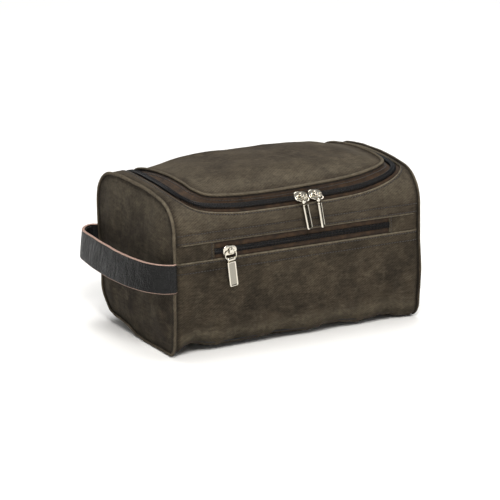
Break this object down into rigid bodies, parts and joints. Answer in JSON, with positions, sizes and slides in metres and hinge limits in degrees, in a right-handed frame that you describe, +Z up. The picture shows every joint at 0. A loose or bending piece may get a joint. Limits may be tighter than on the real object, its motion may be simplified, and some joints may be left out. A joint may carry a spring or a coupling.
{
  "type": "shaving kit bag",
  "caption": "Canvas wash bag for shaving things, with a zipped lid, a zipped front pocket, sewn-in linings and a leather carrying handle on its left end.",
  "frame": {"origin": "middle of the base, on the surface that the bag stands on", "axes": "+X along the bag, away from the handle; +Y to the back, where the lid is hinged; +Z up. The front pocket faces -Y."},
  "size_m": [0.2853, 0.1666, 0.1554],
  "materials": {
    "olive_canvas": "washed heavy cotton canvas, dark olive brown, matt",
    "piping_canvas": "the same canvas folded over a cord, worn paler",
    "black_lining": "plain black polyester lining, slight sheen",
    "brown_zip_tape": "dark brown woven polyester zip tape, matt",
    "black_coil": "blue-black nylon coil, satin",
    "black_leather": "black grained cowhide, semi-matt, with a raw pale edge",
    "polished_nickel": "nickel-plated zinc casting, polished"
  },
  "bodies": {
    "body": {"front_lower_panel": "olive_canvas", "front_upper_panel": "olive_canvas", "pocket_tab_left": "olive_canvas", "pocket_tab_right": "olive_canvas", "end_panel_left": "olive_canvas", "end_panel_right": "olive_canvas", "back_panel": "olive_canvas", "base_panel": "olive_canvas", "end_piping_left": "piping_canvas", "end_piping_right": "piping_canvas", "lining_front": "black_lining", "lining_back": "black_lining", "lining_base": "black_lining", "lining_end_left": "black_lining", "lining_end_right": "black_lining", "pocket_back": "black_lining", "lid_zip_tape_body_side": "brown_zip_tape", "pocket_zip_tape_upper": "brown_zip_tape", "pocket_zip_tape_lower": "brown_zip_tape", "lid_zip_coil_body_side": "black_coil", "pocket_zip_coil_upper": "black_coil", "pocket_zip_coil_lower": "black_coil", "handle_outer": "black_leather", "handle_inner": "black_leather"},
    "lid": {"lid_panel": "olive_canvas", "lid_piping": "piping_canvas", "lid_lining": "black_lining", "lid_zip_tape_lid_side": "brown_zip_tape", "lid_zip_coil_lid_side": "black_coil"},
    "lid_slider_left": {"lid_slider_left": "polished_nickel"},
    "lid_slider_right": {"lid_slider_right": "polished_nickel"},
    "lid_link_left": {"lid_link_left": "polished_nickel"},
    "lid_link_right": {"lid_link_right": "polished_nickel"},
    "lid_pull_left": {"lid_pull_left": "polished_nickel"},
    "lid_pull_right": {"lid_pull_right": "polished_nickel"},
    "pocket_slider": {"pocket_slider": "polished_nickel"},
    "pocket_link": {"pocket_link": "polished_nickel"},
    "pocket_pull": {"pocket_pull": "polished_nickel"}
  },
  "joints": [
    {"name": "lid_hinge", "type": "hinge", "parent": "body", "child": "lid", "pos_m": [0, 0.06333, 0.13769], "axis": [-1, 0, 0], "range_deg": [0, 120]},
    {"name": "lid_slider_left_slide", "type": "slide", "parent": "lid", "child": "lid_slider_left", "axis": [-1, 0, 0], "range_m": [0, 0.072]},
    {"name": "lid_link_left_hinge", "type": "hinge", "parent": "lid_slider_left", "child": "lid_link_left", "pos_m": [0.004, -0.07212, 0.13445], "axis": [-1, 0, 0], "range_deg": [0, 90]},
    {"name": "lid_pull_left_hinge", "type": "hinge", "parent": "lid_link_left", "child": "lid_pull_left", "pos_m": [0.004, -0.0782, 0.13024], "axis": [-1, 0, 0], "range_deg": [0, 110]},
    {"name": "lid_slider_right_slide", "type": "slide", "parent": "lid", "child": "lid_slider_right", "axis": [1, 0, 0], "range_m": [0, 0.049]},
    {"name": "lid_link_right_hinge", "type": "hinge", "parent": "lid_slider_right", "child": "lid_link_right", "pos_m": [0.019, -0.07212, 0.13445], "axis": [-1, 0, 0], "range_deg": [0, 90]},
    {"name": "lid_pull_right_hinge", "type": "hinge", "parent": "lid_link_right", "child": "lid_pull_right", "pos_m": [0.019, -0.0782, 0.13024], "axis": [-1, 0, 0], "range_deg": [0, 110]},
    {"name": "pocket_slider_slide", "type": "slide", "parent": "body", "child": "pocket_slider", "axis": [1, 0, 0], "range_m": [0, 0.16]},
    {"name": "pocket_link_hinge", "type": "hinge", "parent": "pocket_slider", "child": "pocket_link", "pos_m": [-0.074, -0.08055, 0.0952], "axis": [-1, 0, 0], "range_deg": [0, 90]},
    {"name": "pocket_pull_hinge", "type": "hinge", "parent": "pocket_link", "child": "pocket_pull", "pos_m": [-0.074, -0.08107, 0.08782], "axis": [-1, 0, 0], "range_deg": [0, 110]}
  ]
}
